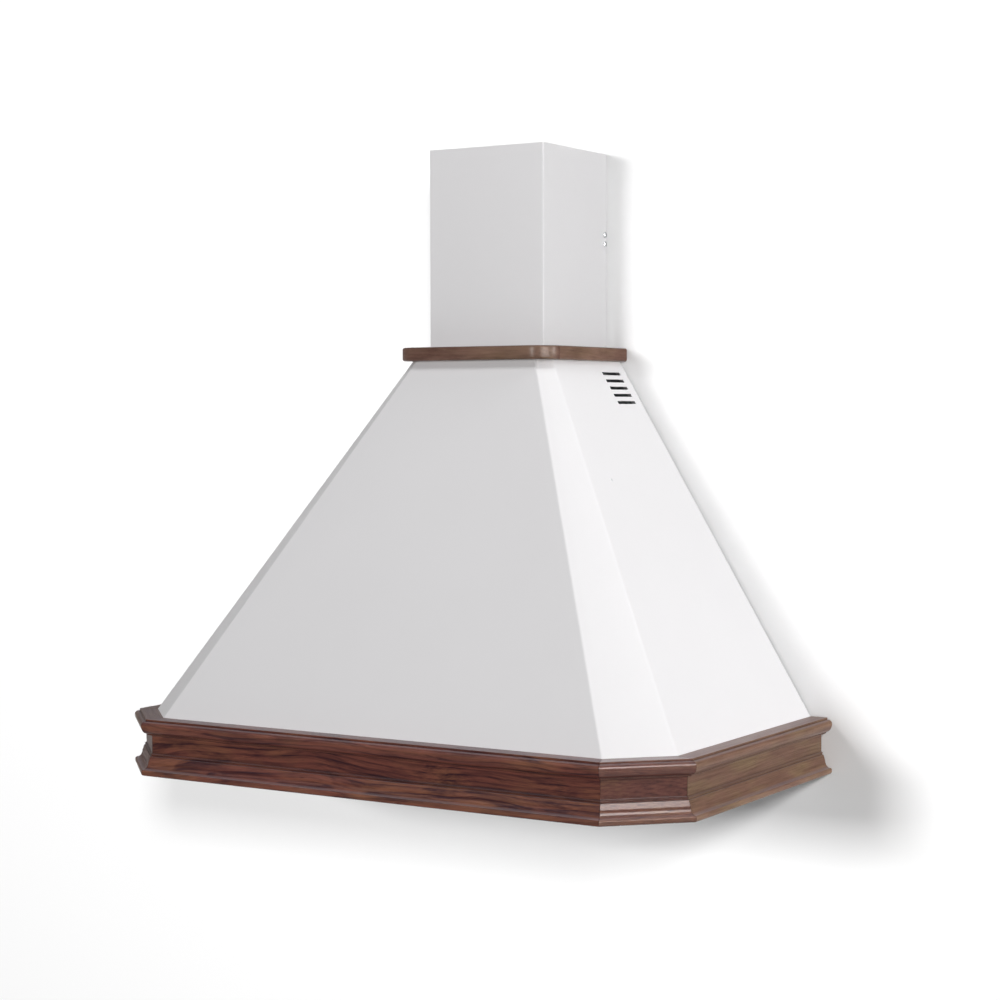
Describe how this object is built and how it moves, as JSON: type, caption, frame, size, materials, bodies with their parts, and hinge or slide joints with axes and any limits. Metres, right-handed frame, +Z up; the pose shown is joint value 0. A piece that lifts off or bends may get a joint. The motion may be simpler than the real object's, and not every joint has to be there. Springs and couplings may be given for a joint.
{
  "type": "range hood",
  "caption": "Wall-mounted country hood: white steel pyramid canopy with cut corners, mitred wooden cornice, wooden collar and chimney, with blower, filters and push buttons inside.",
  "frame": {"origin": "in the wall plane, on the hood's centre line, at the underside of the cornice", "axes": "+X to the right along the wall, seen from the room; +Y into the wall; +Z up"},
  "size_m": [0.9, 0.506, 0.876],
  "materials": {
    "white_enamel": "semi-gloss enamel",
    "walnut_wood": "stained and lacquered, satin",
    "galvanised_steel": "galvanised sheet",
    "fastener_steel": "zinc plated",
    "aluminium": "satin",
    "chrome_ring": "polished",
    "lamp_glass": "frosted",
    "bulb_glass": "clear",
    "black_plastic": "fine grain",
    "grey_plastic": "fine grain",
    "white_plastic": "smooth",
    "motor_paint": "satin",
    "bush_rubber": "matt"
  },
  "bodies": {
    "hood": {"front_rail": "walnut_wood", "left_corner_rail": "walnut_wood", "right_corner_rail": "walnut_wood", "left_side_rail": "walnut_wood", "right_side_rail": "walnut_wood", "mitre_plates": "fastener_steel", "cornice_screws": "fastener_steel", "canopy_shell": "white_enamel", "panel_rivets": "fastener_steel", "back_panel": "galvanised_steel", "base_pan": "white_enamel", "pan_screws": "fastener_steel", "lamp_bulbs": "bulb_glass", "control_bezel": "black_plastic", "control_box": "grey_plastic", "collar_front_board": "walnut_wood", "collar_left_board": "walnut_wood", "collar_right_board": "walnut_wood", "collar_screws": "fastener_steel", "chimney_cover": "white_enamel", "chimney_bracket": "galvanised_steel", "cover_screws": "fastener_steel", "blower_scroll": "galvanised_steel", "blower_side_plate": "galvanised_steel", "motor": "motor_paint", "motor_mount": "galvanised_steel", "motor_bushes": "bush_rubber", "outlet_plate": "galvanised_steel", "outlet_collar": "black_plastic", "left_blower_bracket": "galvanised_steel", "right_blower_bracket": "galvanised_steel", "blower_screws": "fastener_steel", "junction_box": "grey_plastic", "junction_lid": "grey_plastic", "cable_gland": "black_plastic", "capacitor": "white_plastic", "capacitor_clip": "galvanised_steel", "left_lamp_housing": "galvanised_steel", "left_lamp_bezel": "chrome_ring", "left_lamp_lens": "lamp_glass", "right_lamp_housing": "galvanised_steel", "right_lamp_bezel": "chrome_ring", "right_lamp_lens": "lamp_glass"},
    "impeller_rotor": {"impeller": "galvanised_steel", "motor_shaft": "fastener_steel"},
    "front_flap": {"front_flap": "grey_plastic"},
    "rear_flap": {"rear_flap": "grey_plastic"},
    "upper_chimney": {"upper_chimney": "white_enamel"},
    "left_filter": {"left_filter_frame": "aluminium", "left_filter_mesh": "aluminium"},
    "left_latch": {"left_filter_latch": "black_plastic"},
    "right_filter": {"right_filter_frame": "aluminium", "right_filter_mesh": "aluminium"},
    "right_latch": {"right_filter_latch": "black_plastic"},
    "light_button": {"light_button": "black_plastic"},
    "fan_off_button": {"fan_off_button": "black_plastic"},
    "speed_1_button": {"speed_1_button": "black_plastic"},
    "speed_2_button": {"speed_2_button": "black_plastic"},
    "speed_3_button": {"speed_3_button": "black_plastic"}
  },
  "joints": [
    {"name": "impeller_spin", "type": "hinge", "parent": "hood", "child": "impeller_rotor", "pos_m": [0, -0.17536, 0.33], "axis": [1, 0, 0], "continuous": true},
    {"name": "front_flap_hinge", "type": "hinge", "parent": "hood", "child": "front_flap", "pos_m": [0, -0.096, 0.472], "axis": [-1, 0, 0], "range_deg": [0, 75]},
    {"name": "rear_flap_hinge", "type": "hinge", "parent": "hood", "child": "rear_flap", "pos_m": [0, -0.086, 0.472], "axis": [1, 0, 0], "range_deg": [0, 75]},
    {"name": "chimney_slide", "type": "slide", "parent": "hood", "child": "upper_chimney", "axis": [0, 0, 1], "range_m": [0, 0.12]},
    {"name": "left_filter_hinge", "type": "hinge", "parent": "hood", "child": "left_filter", "pos_m": [-0.141, -0.07875, 0.0355], "axis": [1, 0, 0], "range_deg": [0, 55]},
    {"name": "left_latch_slide", "type": "slide", "parent": "left_filter", "child": "left_latch", "axis": [0, 1, 0], "range_m": [0, 0.006], "stiffness_N_per_m": 400, "springref_m": -0.004},
    {"name": "right_filter_hinge", "type": "hinge", "parent": "hood", "child": "right_filter", "pos_m": [0.141, -0.07875, 0.0355], "axis": [1, 0, 0], "range_deg": [0, 55]},
    {"name": "right_latch_slide", "type": "slide", "parent": "right_filter", "child": "right_latch", "axis": [0, 1, 0], "range_m": [0, 0.006], "stiffness_N_per_m": 400, "springref_m": -0.004},
    {"name": "light_button_press", "type": "slide", "parent": "hood", "child": "light_button", "axis": [0, 0, 1], "range_m": [0, 0.0025], "stiffness_N_per_m": 400, "springref_m": -0.002},
    {"name": "fan_off_button_press", "type": "slide", "parent": "hood", "child": "fan_off_button", "axis": [0, 0, 1], "range_m": [0, 0.0025], "stiffness_N_per_m": 400, "springref_m": -0.002},
    {"name": "speed_1_button_press", "type": "slide", "parent": "hood", "child": "speed_1_button", "axis": [0, 0, 1], "range_m": [0, 0.0025], "stiffness_N_per_m": 400, "springref_m": -0.002},
    {"name": "speed_2_button_press", "type": "slide", "parent": "hood", "child": "speed_2_button", "axis": [0, 0, 1], "range_m": [0, 0.0025], "stiffness_N_per_m": 400, "springref_m": -0.002},
    {"name": "speed_3_button_press", "type": "slide", "parent": "hood", "child": "speed_3_button", "axis": [0, 0, 1], "range_m": [0, 0.0025], "stiffness_N_per_m": 400, "springref_m": -0.002}
  ]
}
